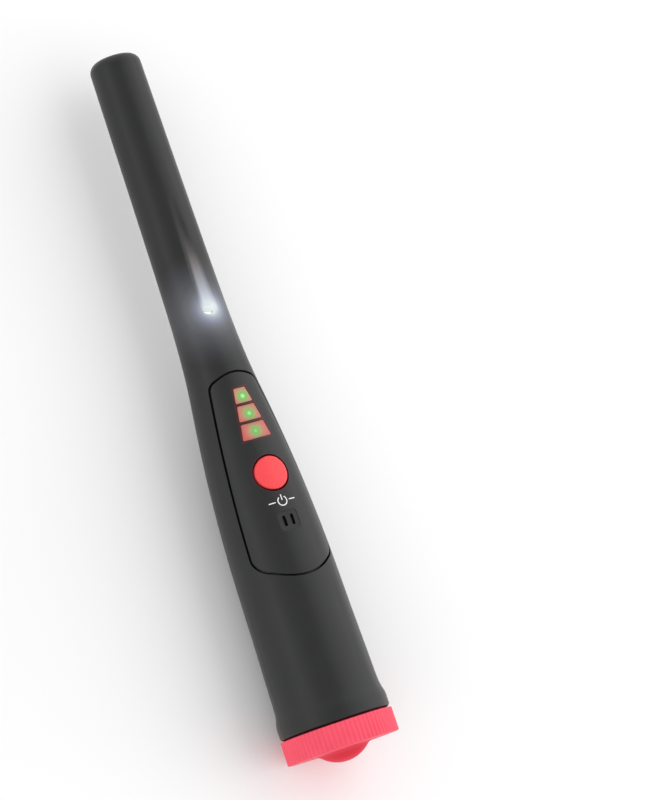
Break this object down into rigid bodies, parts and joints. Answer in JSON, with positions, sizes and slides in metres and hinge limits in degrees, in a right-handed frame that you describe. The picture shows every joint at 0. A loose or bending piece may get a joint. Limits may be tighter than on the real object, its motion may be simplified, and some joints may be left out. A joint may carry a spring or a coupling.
{
  "type": "pinpointer probe",
  "caption": "Handheld pinpointer metal-detecting probe: tapered black housing, panel with signal windows and round red button, torch, ribbed red screw cap.",
  "frame": {"origin": "centre of the footprint, on the surface the probe lies on, under the cap's lowest rib", "axes": "+X runs from the battery cap to the sensing tip, +Z out of the control panel, +Y across the panel"},
  "size_m": [0.2458, 0.038, 0.038],
  "materials": {
    "black_shell": "fine satin moulded ABS",
    "black_panel": "satin moulded ABS",
    "black_rubber": "matt rubber",
    "signal_window": "translucent coral polycarbonate",
    "green_led": "green tinted epoxy",
    "red_button": "satin silicone",
    "cream_plastic": "moulded nylon",
    "black_component": "moulded epoxy",
    "board_green": "solder mask",
    "carrier_plastic": "moulded ABS",
    "screw_steel": "zinc plated",
    "grey_mesh": "woven acoustic membrane",
    "motor_steel": "drawn steel can",
    "weight_metal": "sintered tungsten",
    "blue_wire": "PVC insulation",
    "red_wire": "PVC insulation",
    "white_led": "clear epoxy",
    "clear_lens": "clear polycarbonate",
    "tinned_wire": "tinned lead",
    "ferrite": "sintered ferrite",
    "copper_wire": "enamelled copper",
    "battery_case": "plain jacket, no marking",
    "black_wire": "PVC insulation",
    "red_cap": "satin moulded ABS",
    "grey_foam": "closed-cell foam"
  },
  "bodies": {
    "probe_body": {"housing": "black_shell", "control_panel": "black_panel", "panel_gasket": "black_rubber", "signal_window_1": "signal_window", "signal_window_2": "signal_window", "signal_window_3": "signal_window", "signal_led_1": "green_led", "signal_led_2": "green_led", "signal_led_3": "green_led", "button_seal": "black_rubber", "tact_switch": "black_component", "circuit_board": "board_green", "board_carrier": "carrier_plastic", "board_screw_1": "screw_steel", "board_screw_2": "screw_steel", "control_chip": "black_component", "buzzer": "black_component", "sound_mesh": "grey_mesh", "vibration_motor": "motor_steel", "motor_clip": "carrier_plastic", "motor_lead_1": "blue_wire", "motor_lead_2": "red_wire", "torch_led": "white_led", "torch_lens": "clear_lens", "torch_lead_1": "tinned_wire", "torch_lead_2": "tinned_wire", "ferrite_core": "ferrite", "coil_bobbin": "cream_plastic", "transmit_coil": "copper_wire", "receive_coil": "copper_wire", "coil_lead_1": "copper_wire", "coil_lead_2": "copper_wire", "battery": "battery_case", "snap_connector": "black_component", "battery_lead_black": "black_wire", "battery_lead_red": "red_wire"},
    "button": {"power_button": "red_button", "switch_plunger": "cream_plastic"},
    "cap_carrier": {"cap_o_ring": "black_rubber"},
    "screw_cap": {"battery_cap": "red_cap", "cap_pad": "grey_foam"},
    "eccentric": {"motor_shaft": "screw_steel", "motor_weight": "weight_metal"}
  },
  "joints": [
    {"name": "button_press", "type": "slide", "parent": "probe_body", "child": "button", "axis": [0, 0, -1], "range_m": [0, 0.0007], "stiffness_N_per_m": 2500},
    {"name": "cap_advance", "type": "slide", "parent": "probe_body", "child": "cap_carrier", "axis": [-1, 0, 0], "range_m": [0, 0.0063]},
    {"name": "cap_turn", "type": "hinge", "parent": "cap_carrier", "child": "screw_cap", "pos_m": [-0.1147, 0, 0.019], "axis": [-1, 0, 0], "range_deg": [0, 900]},
    {"name": "motor_spin", "type": "hinge", "parent": "probe_body", "child": "eccentric", "pos_m": [-0.0367, 0, 0.0146], "axis": [1, 0, 0], "continuous": true}
  ],
  "couplings": [
    {"joint": "cap_advance", "follows": "cap_turn", "m_per_rad": 0.00039789}
  ]
}
